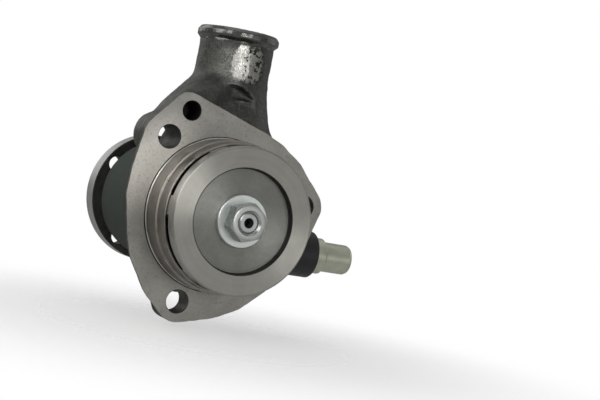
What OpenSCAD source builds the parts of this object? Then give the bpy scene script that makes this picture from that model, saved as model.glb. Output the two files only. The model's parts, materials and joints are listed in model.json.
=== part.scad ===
// Engine coolant pump: a cast housing with a three-lobe mounting flange, an
// impeller that reaches into the engine block, a hose neck, a heater nipple
// and a belt-driven hub on two ball bearings.
// Y is the shaft axis: the engine side is -Y, the drive hub is +Y.
// The origin is the centre of the spigot on the machined flange face.
// Z runs up along the hose neck.

/* [Mounting flange] */
// Thickness of the flange plate
flange_t = 5; // [4.6:0.1:6]
// Bolt circle of the three mounting holes
bolt_pcd = 93.8; // [93:0.1:95]
// Diameter of the mounting holes
bolt_d = 11.5; // [10.5:0.1:12]
// Edge radius round the two plain bolt lobes
lobe_r = 10.4; // [10:0.1:11]
// Diameter of the bypass hole beside the upper bolt hole
bypass_d = 9.4; // [8:0.1:10]

/* [Spigot] */
// Radius of the spigot that locates in the block
spigot_r = 38; // [37.5:0.1:38.5]
// Length of the full-size part of the spigot
spigot_l = 13.5; // [11:0.5:15]
// Radius of the reduced nose of the spigot
nose_r = 36.9; // [36.5:0.1:37.2]
// Distance from the flange face to the nose face
nose_y = 22.2; // [21.6:0.1:22.4]
// Inner radius of the spigot
spigot_bore_r = 29; // [28.5:0.1:29.5]

/* [Barrel] */
// Outer radius of the bearing barrel
barrel_r = 31.5; // [31:0.1:32.5]
// Position of the rear end of the barrel
barrel_end = 85.5; // [85:0.1:86]

/* [Hose neck] */
// Sideways offset of the neck from the shaft axis
neck_x = 6.1; // [5:0.1:7]
// Distance of the neck axis behind the flange face
neck_y = 29; // [28:0.1:30]
// Outside diameter of the hose seat
neck_od = 38.4; // [38:0.1:39]
// Diameter of the passage at the neck's mouth
neck_id = 31; // [29:0.1:31.5]
// Outside diameter of the hose bead
bead_od = 42; // [41:0.1:43]
// Height of the neck's mouth above the shaft axis
neck_top = 93.5; // [92:0.1:95]

/* [Heater outlet] */
// Distance of the outlet axis behind the flange face
outlet_y = 20; // [19.5:0.1:20.5]
// Height of the outlet axis
outlet_z = -13.2; // [-14:0.1:-12.5]
// Diameter of the black adapter bush
adapter_d = 24.4; // [24:0.1:26]
// Outside diameter of the heater nipple
nipple_d = 15.6; // [15:0.1:16]
// Bore of the heater nipple
nipple_id = 12; // [11:0.1:12.4]
// Distance of the nipple's mouth from the shaft axis
nipple_end = 86.2; // [85:0.1:90]

/* [Impeller] */
// Radius of the impeller
imp_r = 36; // [35.5:0.1:36.2]
// Distance from the flange face to the impeller's front face
imp_front = 31.4; // [31:0.1:32]
// Radius of the recess in the front face
imp_recess_r = 25.5; // [25:0.1:26]
// Depth of the recess in the front face
imp_recess = 3.5; // [3.2:0.1:4]
// Number of vanes
vanes = 6; // [6:1:6]

/* [Drive hub] */
// Radius of the hub flange
hub_r = 34.6; // [34:0.1:35]
// Position of the hub flange's engine-side face
hub_y0 = 92.4; // [92:0.1:93]
// Position of the hub flange's belt-side face
hub_y1 = 102.5; // [102:0.1:103]
// Bolt circle of the four pulley holes
hub_pcd = 56; // [55:0.5:57]
// Diameter of the pulley holes
hub_hole_d = 8.4; // [8:0.1:9]

/* [Shaft] */
// Radius of the shaft in the bearings
shaft_r = 10; // [10:0.1:10]
// Radius of the shaft at the seal
seal_shaft_r = 8; // [8:0.1:8.2]
// Radius of the shaft in the impeller
imp_shaft_r = 7; // [7:0.1:7.2]
// Radius of the threaded end
stud_r = 5; // [5:0.1:5]
// Distance from the flange face to the threaded tip
shaft_tip = 37.7; // [37.4:0.1:38.3]

/* [Hidden] */
$fn = 96;

// bolt circle positions as [x, z]
bolt_a = 133.8;
bolt_b = -106.2;
bolt_c = 13.8;
function polar(r, a) = [r * cos(a), r * sin(a)];
pa = polar(bolt_pcd / 2, bolt_a);
pb = polar(bolt_pcd / 2, bolt_b);
pc = polar(bolt_pcd / 2, bolt_c);
pd = [-23.4, 48.2];          // bypass hole
arc_r = 49.3;                // plate radius near the lobes
side_d = 47.4;               // plate half-width between the lobes
side_r = 150;                // radius of the three long sides
// bearings: 20 x 47 x 14
brg_w = 14;
brg_od_r = 23.5;
brg_f = 47;                  // front bearing starts here
brg_r = 68.5;                // rear bearing starts here
ball_pitch = 16.75;
ball_r = 3.9;
balls = 8;
wall_y = 28;                 // wet face of the seal wall
seat_y = 21;                 // sealing plane

// ---- helpers -------------------------------------------------------------
// profile [[r, y], ...] turned about the shaft axis
module turn(p) { rotate([-90, 0, 0]) rotate_extrude() polygon(p); }
// flat outline in x, z carried from y0 to y1
module plate(y0, y1) { translate([0, y1, 0]) rotate([90, 0, 0]) linear_extrude(y1 - y0) children(); }
// round bar along Y at [x, z]
module bar(p, r, y0, y1, n = 96) { translate([p[0], y0, p[1]]) rotate([-90, 0, 0]) cylinder(r = r, h = y1 - y0, $fn = n); }
// round bar along X
module xbar(r, x0, x1, y = outlet_y, z = outlet_z) { translate([x0, y, z]) rotate([0, 90, 0]) cylinder(r = r, h = x1 - x0); }
// outer tangents of two circles
module web(c1, r1, c2, r2) {
  d = c2 - c1;
  a = atan2(d[1], d[0]);
  b = acos((r1 - r2) / norm(d));
  polygon([c1 + polar(r1, a + b), c2 + polar(r2, a + b), c2 + polar(r2, a - b), c1 + polar(r1, a - b)]);
}
module ring(ro, ri, y0, y1) { turn([[ri, y0], [ro, y0], [ro, y1], [ri, y1]]); }

// ---- housing -------------------------------------------------------------
// o moves the whole edge inwards
module flange_outline(o = 0) {
  intersection() {
    circle(arc_r - o);
    translate(polar(side_d - side_r, 73.8)) circle(side_r - o, $fn = 180);
    translate(polar(side_d - side_r, 193.8)) circle(side_r - o, $fn = 180);
    translate(polar(side_d - side_r, -46.2)) circle(side_r - o, $fn = 180);
  }
  for (p = [pb, pc]) translate(p) circle(lobe_r - o);
  // full shoulders beside the two plain lobes
  for (q = [[bolt_c + 20.2, pc], [bolt_c - 20.2, pc], [bolt_b + 20.2, pb]]) {
    c = polar(35.7, q[0]);
    translate(c) circle(16 - o);
    web(c, 15.85 - o, q[1], lobe_r - 0.15 - o);
    web([0, 0], arc_r - 0.25 - o, c, 15.8 - o);
  }
  // fuller corner on the left of the lower lobe
  lb = [-15.5, -30];
  translate(lb) circle(20 - o);
  web(lb, 20 - o, pb, lobe_r - o);
  web([0, 0], arc_r - 0.2 - o, lb, 20 - o);
  // wide upper lobe round the bolt hole and the bypass hole
  la = [-33.2, 33];
  ld = [-24.6, 47.6];
  translate(la) circle(12.4 - o);
  translate(ld) circle(9.2 - o);
  lc = polar(33.2, 158);
  translate(lc) circle(18 - o);
  web(la, 12.25 - o, lc, 17.85 - o);
  web([0, 0], arc_r - 0.25 - o, lc, 17.8 - o);
  web([0, 0], side_d - o, ld, 9.2 - o);
  web(la, 12.4 - o, ld, 9.2 - o);
}
// neck outline: straight hose seat above, flaring trumpet below
function flare(z) = neck_od / 2 + (z < 72 ? pow(72 - z, 2) / 125 : 0);
module neck_outer() {
  translate([neck_x, neck_y, 0]) rotate_extrude() polygon(concat(
    [[0, 42]], [for (z = [42:5:72]) [flare(z), z]],
    [[neck_od / 2, neck_top - 6.3], [bead_od / 2, neck_top - 4.7], [bead_od / 2, neck_top - 1.7],
     [bead_od / 2 - 1.3, neck_top], [0, neck_top]]));
}
module housing_solid() {
  // flange plate with a stepped back edge that stands in for the casting draft
  plate(0, flange_t - 2.5) flange_outline();
  plate(flange_t - 2.6, flange_t) flange_outline(1.3);
  // spigot, suction chamber and bearing barrel in one turned outline
  turn([[0, -nose_y], [nose_r - 0.5, -nose_y], [nose_r, 0.5 - nose_y], [nose_r, -spigot_l], [spigot_r - 0.6, -spigot_l],
        [spigot_r, 0.6 - spigot_l], [spigot_r, 2], [39, 2], [39, 24], [37.5, 31], [33.5, 41],
        [barrel_r, 48], [barrel_r, barrel_end - 1], [barrel_r - 1, barrel_end], [0, barrel_end]]);
  // bosses behind the bolt holes
  bar(pa, 11.6, 0, 20.7);
  bar(pb, lobe_r, 0, 12.5);
  bar(pc, lobe_r, 0, 12.5);
  // neck, its shoulder over the chamber and the web to the upper lobe
  intersection() {
    neck_outer();
    translate([-40, 5.5, 30]) cube([100, 45, 80]);
  }
  intersection() {
    hull() {
      bar([0, 0], 35, 8, 30, 32);
      bar([0, 0], 29, 30, 47, 32);
      translate([neck_x, neck_y, 42]) cylinder(r = 26.2, h = 2, $fn = 32);
    }
    translate([-60, 6, 0]) cube([120, 43, 60]);
  }
  hull() {
    bar(pa, 9.2, 4, 20, 32);
    bar(pd, 8.6, 4, 20, 32);
    translate([neck_x, neck_y, 60]) cylinder(r = 19.6, h = 8, $fn = 32);
  }
  // gusset from the neck to the barrel
  translate([neck_x - 7, 0, 0]) rotate([90, 0, 90]) linear_extrude(8) polygon([[40, 26], [78, 26], [78, 31], [66, 35], [49, 58], [40, 58]]);
  // boss for the heater outlet and for the weep hole
  xbar(15, 20, 50);
  translate([0, 44.2, -34]) cylinder(r = 6, h = 10);
}
module pump_housing() color([0.27, 0.27, 0.26]) difference() {
  housing_solid();
  // spigot bore and suction chamber, then the seal wall
  turn([[0, -nose_y - 1], [nose_r - 1, -nose_y - 1], [nose_r - 1, -nose_y], [spigot_bore_r, -13], [spigot_bore_r, 6], [33, 10], [33, wall_y - 2], [31, wall_y], [0, wall_y]]);
  turn([[0, wall_y - 1], [18.25, wall_y - 1], [18.25, 38], [13, 38], [13, 41.5], [19, 41.5], [19, brg_f], [brg_od_r, brg_f],
        [brg_od_r, brg_r + brg_w], [24.8, brg_r + brg_w], [24.8, brg_r + brg_w + 1.8], [brg_od_r, brg_r + brg_w + 1.8],
        [brg_od_r, barrel_end - 0.8], [brg_od_r + 0.8, barrel_end], [brg_od_r + 0.8, barrel_end + 1], [0, barrel_end + 1]]);
  // undercut where the spigot meets the flange face
  turn([[spigot_r - 0.3, -0.01], [spigot_r + 1.2, -0.01], [spigot_r + 1.2, 0.7], [spigot_r - 0.3, 0.7]]);
  // neck passage: straight mouth, then an elbow into the chamber
  translate([neck_x, neck_y, 62]) cylinder(r = neck_id / 2, h = 40);
  translate([neck_x, neck_y, 38]) cylinder(r = 13.4, h = 25);
  intersection() {
    translate([neck_x, neck_y, 20]) cylinder(r = 13, h = 20);
    translate([-40, 14, 10]) cube([100, 11.5, 56]);
  }
  // mounting holes, bypass hole and its cross passage
  bar(pa, bolt_d / 2, -1, 22);
  bar(pb, bolt_d / 2, -1, 14);
  bar(pc, bolt_d / 2, -1, 14);
  // room behind the bosses for the bolt heads
  bar(pa, 9.6, 20.7, 60);
  bar(pb, 9.8, 12.5, 30);
  bar(pc, 9.8, 12.5, 30);
  bar(pd, bypass_d / 2, -1, 16);
  translate([pd[0], 12.5, pd[1]]) rotate([0, 90, 28]) cylinder(r = 3, h = 26);
  // arched pocket under the hose seat, deepest under its arch
  intersection() {
    bar([-0.5, 45.4], 19.6, flange_t, 8.5);
    translate([-9, 0, 51]) cube([24, 20, 40]);
  }
  intersection() {
    bar([-0.4, 45.4], 18.8, 8, 12.5);
    translate([-5, 0, 57]) cube([19, 20, 40]);
  }
  // heater outlet passage and thread
  xbar(6.5, 25, 60);
  xbar(9.5, 39, 60);
  // weep hole
  translate([0, 44.2, -45]) cylinder(r = 2.5, h = 40);
}
module outlet_adapter() color([0.10, 0.10, 0.10]) difference() {
  union() {
    xbar(9.5, 40, 50.5);
    xbar(adapter_d / 2, 50, 64.3);
  }
  xbar(6.5, 39, 60);
  xbar(8.3, 58, 67);
}
module heater_nipple() color([0.60, 0.62, 0.52]) difference() {
  translate([0, outlet_y, outlet_z]) rotate([0, 90, 0]) rotate_extrude() polygon([[0, 58], [8.3, 58], [8.3, 64.3], [9.4, 64.3],
    [9.4, 69.7], [8.9, 70.2], [nipple_d / 2, 70.6], [nipple_d / 2, nipple_end - 1.8], [nipple_d / 2 - 0.5, nipple_end - 0.6], [nipple_d / 2 - 1.2, nipple_end], [0, nipple_end]]);
  xbar(nipple_id / 2, 57, nipple_end + 1);
}

// ---- bearings ------------------------------------------------------------
module outer_ring(y) color([0.72, 0.73, 0.75]) difference() {
  turn([[20.4, y], [brg_od_r - 0.6, y], [brg_od_r, y + 0.6], [brg_od_r, y + brg_w - 0.6], [brg_od_r - 0.6, y + brg_w],
        [20.4, y + brg_w], [20.4, y + brg_w - 1.2], [19.2, y + brg_w - 2], [19.2, y + 2], [20.4, y + 1.2]]);
  translate([0, y + brg_w / 2, 0]) rotate([-90, 0, 0]) rotate_extrude() translate([ball_pitch, 0]) circle(ball_r + 0.1, $fn = 48);
}
module inner_ring(y) color([0.72, 0.73, 0.75]) difference() {
  turn([[shaft_r, y + 0.5], [shaft_r + 0.5, y], [14.2, y], [14.2, y + brg_w], [shaft_r + 0.5, y + brg_w], [shaft_r, y + brg_w - 0.5]]);
  translate([0, y + brg_w / 2, 0]) rotate([-90, 0, 0]) rotate_extrude() translate([ball_pitch, 0]) circle(ball_r + 0.1, $fn = 48);
}
module shields(y) color([0.35, 0.22, 0.16]) {
  ring(20.4, 14.6, y + 0.3, y + 1.1);
  ring(20.4, 14.6, y + brg_w - 1.1, y + brg_w - 0.3);
}
module ball_set(y) color([0.85, 0.86, 0.88])
  for (i = [0:balls - 1]) rotate([0, i * 360 / balls, 0]) translate([ball_pitch, y + brg_w / 2, 0]) sphere(ball_r, $fn = 48);
module cage(y) color([0.78, 0.66, 0.38]) difference() {
  ring(17.9, 15.6, y + 1.9, y + brg_w - 1.9);
  for (i = [0:balls - 1]) rotate([0, i * 360 / balls, 0]) translate([12, y + brg_w / 2, 0]) rotate([0, 90, 0]) cylinder(r = ball_r + 0.15, h = 10, $fn = 48);
}
module front_bearing_outer_ring() outer_ring(brg_f);
module rear_bearing_outer_ring() outer_ring(brg_r);
module front_bearing_inner_ring() inner_ring(brg_f);
module rear_bearing_inner_ring() inner_ring(brg_r);
module front_bearing_shields() shields(brg_f);
module rear_bearing_shields() shields(brg_r);
module front_bearing_balls() ball_set(brg_f);
module rear_bearing_balls() ball_set(brg_r);
module front_bearing_cage() cage(brg_f);
module rear_bearing_cage() cage(brg_r);
module housing_circlip() color([0.25, 0.25, 0.27]) difference() {
  y = brg_r + brg_w;
  union() {
    ring(24.7, 20.8, y, y + 1.7);
    for (s = [-1, 1]) bar([s * 4.4, -19.8], 2.6, y, y + 1.7, 48);
  }
  translate([-2.2, y - 1, -30]) cube([4.4, 4, 14]);
  for (s = [-1, 1]) bar([s * 4.4, -19.6], 1, y - 1, y + 3, 32);
}
module bearing_spacer() color([0.50, 0.51, 0.53]) ring(12.6, shaft_r, brg_f + brg_w, brg_r);
module shaft_circlip() color([0.25, 0.25, 0.27]) difference() {
  y = brg_r + brg_w;
  union() {
    ring(12.4, 9.4, y, y + 1.2);
    for (s = [-1, 1]) bar([s * 3.1, 13], 2.2, y, y + 1.2, 48);
  }
  translate([-1.4, y - 1, 6]) cube([2.8, 4, 12]);
  for (s = [-1, 1]) bar([s * 3.2, 13.2], 0.8, y - 1, y + 3, 32);
}

// ---- shaft seal ----------------------------------------------------------
module seal_shell() color([0.72, 0.60, 0.34])
  turn([[17.25, wall_y - 1.2], [20.2, wall_y - 1.2], [20.2, wall_y], [18.25, wall_y], [18.25, 37.6], [10.5, 37.6], [10.5, 36.6], [17.25, 36.6]]);
module seal_bellows() color([0.08, 0.08, 0.08])
  turn([[9.2, seat_y + 3], [12.3, seat_y + 3], [12.3, 29.2], [11.2, 30], [11.2, 33.4], [16.9, 34.4], [16.9, 36.6], [10, 36.6], [9.2, 33]]);
module seal_carbon_ring() color([0.16, 0.16, 0.17])
  turn([[9.4, seat_y], [12, seat_y], [12, seat_y + 1], [13.6, seat_y + 1.6], [13.6, seat_y + 3], [9.4, seat_y + 3]]);
// cup that carries the spring's force onto the carbon ring
module seal_spring_cup() color([0.70, 0.71, 0.72])
  turn([[12.35, seat_y + 3], [16.1, seat_y + 3], [16.1, seat_y + 5.2], [15.5, seat_y + 5.2], [15.5, seat_y + 3.8], [12.35, seat_y + 3.8]]);
// helical spring round the bellows, from the cup to the flange of the bellows
spring_r = 14.6;
spring_w = 0.8;
spring_turns = 4;
spring_y0 = 25.62;
spring_y1 = 33.0;
spring_n = 88;
function helix(i) = let (t = i / spring_n, a = 360 * spring_turns * t, e = max(0, min(1, (t * spring_turns - 0.5) / (spring_turns - 1))))
  [spring_r * cos(a), spring_y0 + (spring_y1 - spring_y0) * e, spring_r * sin(a), a];
module seal_spring() color([0.75, 0.76, 0.78]) {
  m = 8;
  pts = [for (i = [0:spring_n]) let (h = helix(i)) for (k = [0:m - 1]) let (b = 360 * k / m)
    [h[0] + spring_w * cos(b) * cos(h[3]), h[1] + spring_w * sin(b), h[2] + spring_w * cos(b) * sin(h[3])]];
  sides = [for (i = [0:spring_n - 1]) for (k = [0:m - 1])
    [i * m + k, i * m + (k + 1) % m, (i + 1) * m + (k + 1) % m, (i + 1) * m + k]];
  polyhedron(points = pts, faces = concat([[for (k = [m - 1:-1:0]) k]], sides, [[for (k = [0:m - 1]) spring_n * m + k]]), convexity = 10);
}
module seal_seat() color([0.82, 0.80, 0.74]) ring(14.5, 8.8, 16.4, seat_y - 0.05);
module seat_boot() color([0.08, 0.08, 0.08]) turn([[seal_shaft_r, 13.6], [15.8, 13.6], [15.8, 19.4], [14.5, 19.4], [14.5, 16.4], [8.8, 16.4], [8.8, 19.6], [seal_shaft_r, 19.6]]);
module slinger() color([0.12, 0.12, 0.12]) turn([[seal_shaft_r, 42.4], [10.5, 42.4], [11.2, 43.4], [15.5, 43.9], [15.5, 44.7], [10.8, 45], [seal_shaft_r, 46]]);

// ---- rotor ---------------------------------------------------------------
module pump_shaft() color([0.62, 0.63, 0.65]) difference() {
  turn([[0, -shaft_tip], [stud_r - 0.8, -shaft_tip], [stud_r, 0.8 - shaft_tip], [stud_r, -27.2], [imp_shaft_r - 0.5, -27.2], [imp_shaft_r, -26.7], [imp_shaft_r, 13],
        [seal_shaft_r, 13], [seal_shaft_r, 46.2], [12, 46.2], [12, brg_f], [shaft_r, brg_f],
        [shaft_r, brg_r + brg_w], [9.4, brg_r + brg_w], [9.4, brg_r + brg_w + 1.3], [shaft_r - 0.2, brg_r + brg_w + 1.3], [shaft_r - 0.2, 86.5],
        [9.5, 86.8], [9.5, 103.2], [8.7, 104], [0, 104]]);
  // centre drillings
  turn([[0, -shaft_tip - 1], [3.1, -shaft_tip - 1], [1.1, 2.2 - shaft_tip], [1.1, 4.6 - shaft_tip], [0, 5.2 - shaft_tip]]);
  turn([[0, 105], [3.6, 105], [1.5, 101.4], [1.5, 98], [0, 97.2]]);
  // keyways
  translate([-2, -20, 4.6]) cube([4, 22, 4]);
  translate([-2.5, 89, 6.6]) cube([5, 12, 4]);
}
module impeller_key() color([0.45, 0.45, 0.46]) translate([-2, -19.9, 4.6]) cube([4, 21.8, 4.1]);
module hub_key() color([0.45, 0.45, 0.46]) translate([-2.5, 89.1, 6.6]) cube([5, 11.8, 5.1]);
// one vane: an arc-shaped blade laid back against the rotation, its tip at angle 0
vane_r = 27;                 // radius of the blade's centre line
vane_t = 3.9;                // blade thickness
vane_b = 25;                 // blade angle at the rim
vane_c = sqrt(imp_r * imp_r + vane_r * vane_r - 2 * imp_r * vane_r * cos(vane_b));
vane_a = acos((imp_r * imp_r + vane_c * vane_c - vane_r * vane_r) / (2 * imp_r * vane_c));
module vane() {
  rotate(-vane_a) intersection() {
    translate([vane_c, 0]) difference() { circle(vane_r + vane_t / 2); circle(vane_r - vane_t / 2); }
    translate([-60, 0]) square([120, 60]);
  }
}
module impeller() color([0.55, 0.54, 0.52]) difference() {
  union() {
    turn([[0, -imp_front], [imp_r - 0.7, -imp_front], [imp_r, 0.7 - imp_front], [imp_r, -25.3], [26, -24], [19, -20], [14, -13],
          [12.5, -4], [12.5, 12.6], [12, 13.1], [0, 13.1]]);
    // vanes: their back edges run just clear of the nose and of the cone behind it
    intersection() {
      plate(-26, -10) for (i = [0:vanes - 1]) rotate(176.75 + i * 360 / vanes) vane();
      turn([[0, -30], [imp_r - 0.02, -30], [imp_r - 0.02, -0.45 - nose_y], [nose_r - 1.5, -0.45 - nose_y], [spigot_bore_r - 0.9, -12.9], [14, -10.2], [0, -10.2]]);
    }
  }
  turn([[0, -imp_front - 1], [imp_recess_r, -imp_front - 1], [imp_recess_r, imp_recess - imp_front - 0.8], [imp_recess_r - 0.8, imp_recess - imp_front], [0, imp_recess - imp_front]]);
  bar([0, 0], imp_shaft_r, -40, 20);
  translate([-2, -40, 0]) cube([4, 60, 8.8]);
}
module impeller_washer() color([0.76, 0.79, 0.79]) {
  y = imp_recess - imp_front;
  turn([[5.3, y - 2.6], [12.5, y - 2.6], [13, y - 2.1], [13, y], [5.3, y]]);
}
module impeller_nut() color([0.72, 0.75, 0.75]) {
  y = imp_recess - imp_front - 2.6;
  difference() {
    intersection() {
      translate([0, y - 8, 0]) rotate([-90, 0, 0]) rotate(-19) cylinder(r = 17 / sqrt(3), h = 8, $fn = 6);
      turn([[0, y - 8], [8.4, y - 8], [9.85, y - 7.1], [9.85, y - 0.9], [8.4, y], [0, y]]);
    }
    bar([0, 0], stud_r, y - 9, y + 1);
    turn([[0, y - 9], [6.5, y - 9], [5, y - 7.4], [0, y - 7.4]]);
  }
}
module drive_hub() color([0.42, 0.42, 0.41]) difference() {
  turn([[0, 87.2], [15.2, 87.2], [16, 88], [16, hub_y0 - 1], [17, hub_y0], [hub_r - 0.6, hub_y0], [hub_r, hub_y0 + 0.6], [hub_r, hub_y1 - 0.6],
        [hub_r - 0.6, hub_y1], [15, hub_y1], [15, hub_y1 + 2.4], [14.4, hub_y1 + 3], [0, hub_y1 + 3]]);
  bar([0, 0], 9.5, 80, 110);
  translate([-2.5, 80, 0]) cube([5, 30, 11.8]);
  for (i = [0:3]) bar(polar(hub_pcd / 2, 147.5 + 90 * i), hub_hole_d / 2, 85, 110, 48);
}

pump_housing();
outlet_adapter();
heater_nipple();
front_bearing_outer_ring();
rear_bearing_outer_ring();
front_bearing_shields();
rear_bearing_shields();
housing_circlip();
seal_shell();
seal_bellows();
seal_spring();
seal_spring_cup();
seal_carbon_ring();
pump_shaft();
impeller();
impeller_washer();
impeller_nut();
impeller_key();
seal_seat();
seat_boot();
slinger();
front_bearing_inner_ring();
rear_bearing_inner_ring();
bearing_spacer();
shaft_circlip();
drive_hub();
hub_key();
front_bearing_balls();
front_bearing_cage();
rear_bearing_balls();
rear_bearing_cage();
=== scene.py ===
import json
import math

import bmesh
import bpy
from mathutils import Matrix, Vector, noise


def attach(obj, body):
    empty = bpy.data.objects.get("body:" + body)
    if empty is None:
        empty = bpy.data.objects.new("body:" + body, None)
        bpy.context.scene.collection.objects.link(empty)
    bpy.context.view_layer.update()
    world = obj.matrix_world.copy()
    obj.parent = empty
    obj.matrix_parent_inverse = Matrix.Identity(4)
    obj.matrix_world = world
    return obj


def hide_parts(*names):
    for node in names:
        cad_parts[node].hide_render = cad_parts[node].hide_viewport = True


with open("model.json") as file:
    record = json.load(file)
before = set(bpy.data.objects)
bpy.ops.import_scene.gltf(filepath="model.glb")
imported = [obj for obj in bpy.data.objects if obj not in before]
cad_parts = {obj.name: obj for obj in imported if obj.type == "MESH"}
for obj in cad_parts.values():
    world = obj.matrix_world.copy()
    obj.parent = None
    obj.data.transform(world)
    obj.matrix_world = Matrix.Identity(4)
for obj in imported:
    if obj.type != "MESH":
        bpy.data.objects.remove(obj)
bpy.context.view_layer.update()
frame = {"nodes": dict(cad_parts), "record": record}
scene = bpy.context.scene
MM = 0.001


# ---------------------------------------------------------------- mesh helpers
def link(name, mesh):
    o = bpy.data.objects.new(name, mesh)
    scene.collection.objects.link(o)
    return o


def make(name, verts, faces):
    """A mesh object from points in millimetres, with its faces pointing outwards."""
    me = bpy.data.meshes.new(name)
    me.from_pydata([(x * MM, y * MM, z * MM) for x, y, z in verts], [], faces)
    bm = bmesh.new()
    bm.from_mesh(me)
    bmesh.ops.remove_doubles(bm, verts=bm.verts, dist=1e-8)
    bmesh.ops.recalc_face_normals(bm, faces=bm.faces)
    bm.to_mesh(me)
    bm.free()
    return link(name, me)


def rounded(points):
    """A profile of (a, b, radius) corners with each corner that has a radius turned into an arc."""
    out = []
    n = len(points)
    for i, p in enumerate(points):
        r = p[2] if len(p) > 2 else 0
        if not r:
            out.append((p[0], p[1]))
            continue
        a, b, c = Vector(points[i - 1][:2]), Vector(p[:2]), Vector(points[(i + 1) % n][:2])
        u, v = (a - b).normalized(), (c - b).normalized()
        half = math.acos(max(-1, min(1, u.dot(v)))) / 2
        d = min(r / math.tan(half), 0.49 * min((a - b).length, (c - b).length))
        rr = d * math.tan(half)
        centre = b + (u + v).normalized() * (rr / math.sin(half))
        s, e = b + u * d - centre, b + v * d - centre
        a0, a1 = math.atan2(s.y, s.x), math.atan2(e.y, e.x)
        da = (a1 - a0 + math.pi) % (2 * math.pi) - math.pi
        k = max(2, int(abs(da) / 0.3) + 1)
        for j in range(k + 1):
            t = a0 + da * j / k
            out.append((centre.x + rr * math.cos(t), centre.y + rr * math.sin(t)))
    return out


def lathe(name, profile, seg=144, axis="Y", at=(0, 0, 0)):
    """A closed outline of (radius, distance[, corner radius]) turned about an axis, in millimetres."""
    base = rounded(profile)
    pts = []
    for i, p in enumerate(base):
        pts.append(p)
        q = base[(i + 1) % len(base)]
        d = math.hypot(q[0] - p[0], q[1] - p[1])
        if d > 0.9 and p[0] > 1e-6 and q[0] > 1e-6:
            # rows close to both corners keep the flat between them flat
            for t in (0.12 / d, 1 - 0.12 / d):
                pts.append((p[0] + (q[0] - p[0]) * t, p[1] + (q[1] - p[1]) * t))
    verts, faces, rings = [], [], []
    for r, h in pts:
        if r < 1e-6:
            rings.append([len(verts)] * seg)
            verts.append((0, 0, h))
        else:
            rings.append(list(range(len(verts), len(verts) + seg)))
            verts += [(r * math.cos(2 * math.pi * i / seg), r * math.sin(2 * math.pi * i / seg), h) for i in range(seg)]
    m = len(pts)
    for k in range(m):
        a, b = rings[k], rings[(k + 1) % m]
        if a[0] == a[1] and b[0] == b[1]:
            continue
        for i in range(seg):
            j = (i + 1) % seg
            f = [a[i], a[j], b[j], b[i]]
            f = [v for q, v in enumerate(f) if v != f[q - 1]]
            if len(set(f)) > 2:
                faces.append(f)
    turn = {"Y": lambda p: (p[0], p[2], p[1]), "X": lambda p: (p[2], p[0], p[1]), "Z": lambda p: p}[axis]
    return make(name, [tuple(c + d for c, d in zip(turn(p), at)) for p in verts], faces)


def prism(name, outline, y0, y1, inset0=0.0, inset1=0.0):
    """A flat (x, z) outline carried along Y."""
    n = len(outline)
    verts = [(x, y0, z) for x, z in outline] + [(x, y1, z) for x, z in outline]
    faces = [list(range(n)), list(range(2 * n - 1, n - 1, -1))]
    faces += [[i, (i + 1) % n, n + (i + 1) % n, n + i] for i in range(n)]
    return make(name, verts, faces)


def block(name, x0, x1, y0, y1, z0, z1):
    return prism(name, [(x0, z0), (x1, z0), (x1, z1), (x0, z1)], y0, y1)


def hull(name, objects):
    bm = bmesh.new()
    for o in objects:
        for v in o.data.vertices:
            bm.verts.new(v.co)
    geo = bmesh.ops.convex_hull(bm, input=bm.verts)
    bmesh.ops.delete(bm, geom=list({e for e in geo["geom_interior"] + geo["geom_unused"] if isinstance(e, bmesh.types.BMVert)}), context="VERTS")
    bmesh.ops.recalc_face_normals(bm, faces=bm.faces)
    me = bpy.data.meshes.new(name)
    bm.to_mesh(me)
    bm.free()
    for o in objects:
        bpy.data.objects.remove(o)
    return link(name, me)


def join(name, objects):
    bm = bmesh.new()
    for o in objects:
        bm.from_mesh(o.data)
    me = bpy.data.meshes.new(name)
    bm.to_mesh(me)
    bm.free()
    for o in objects:
        bpy.data.objects.remove(o)
    return link(name, me)


def bake(o):
    """Applies the object's modifiers."""
    bpy.context.view_layer.update()
    dep = bpy.context.evaluated_depsgraph_get()
    me = bpy.data.meshes.new_from_object(o.evaluated_get(dep))
    o.modifiers.clear()
    o.data = me
    return o


def cut(o, tool, op="DIFFERENCE", keep=False):
    m = o.modifiers.new("b", "BOOLEAN")
    m.operation, m.object, m.solver = op, tool, "EXACT"
    m.material_mode = "TRANSFER"
    bake(o)
    if not keep:
        bpy.data.objects.remove(tool)
    return o


def remesh(o, size):
    m = o.modifiers.new("r", "REMESH")
    m.mode, m.voxel_size = "VOXEL", size * MM
    return bake(o)


def shade(o, angle=32):
    """Smooth shading with creases where faces meet at more than the angle."""
    bm = bmesh.new()
    bm.from_mesh(o.data)
    lim = math.radians(angle)
    for f in bm.faces:
        f.smooth = True
    for e in bm.edges:
        e.smooth = len(e.link_faces) == 2 and e.calc_face_angle(0) < lim
    bm.to_mesh(o.data)
    bm.free()
    return o


def tidy(o):
    """Merges the tiny edges that a boolean leaves."""
    bm = bmesh.new()
    bm.from_mesh(o.data)
    bmesh.ops.remove_doubles(bm, verts=bm.verts, dist=2e-6)
    bmesh.ops.dissolve_degenerate(bm, edges=bm.edges, dist=1e-6)
    bm.to_mesh(o.data)
    bm.free()
    return o


def polar(r, a):
    return r * math.cos(math.radians(a)), r * math.sin(math.radians(a))


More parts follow.
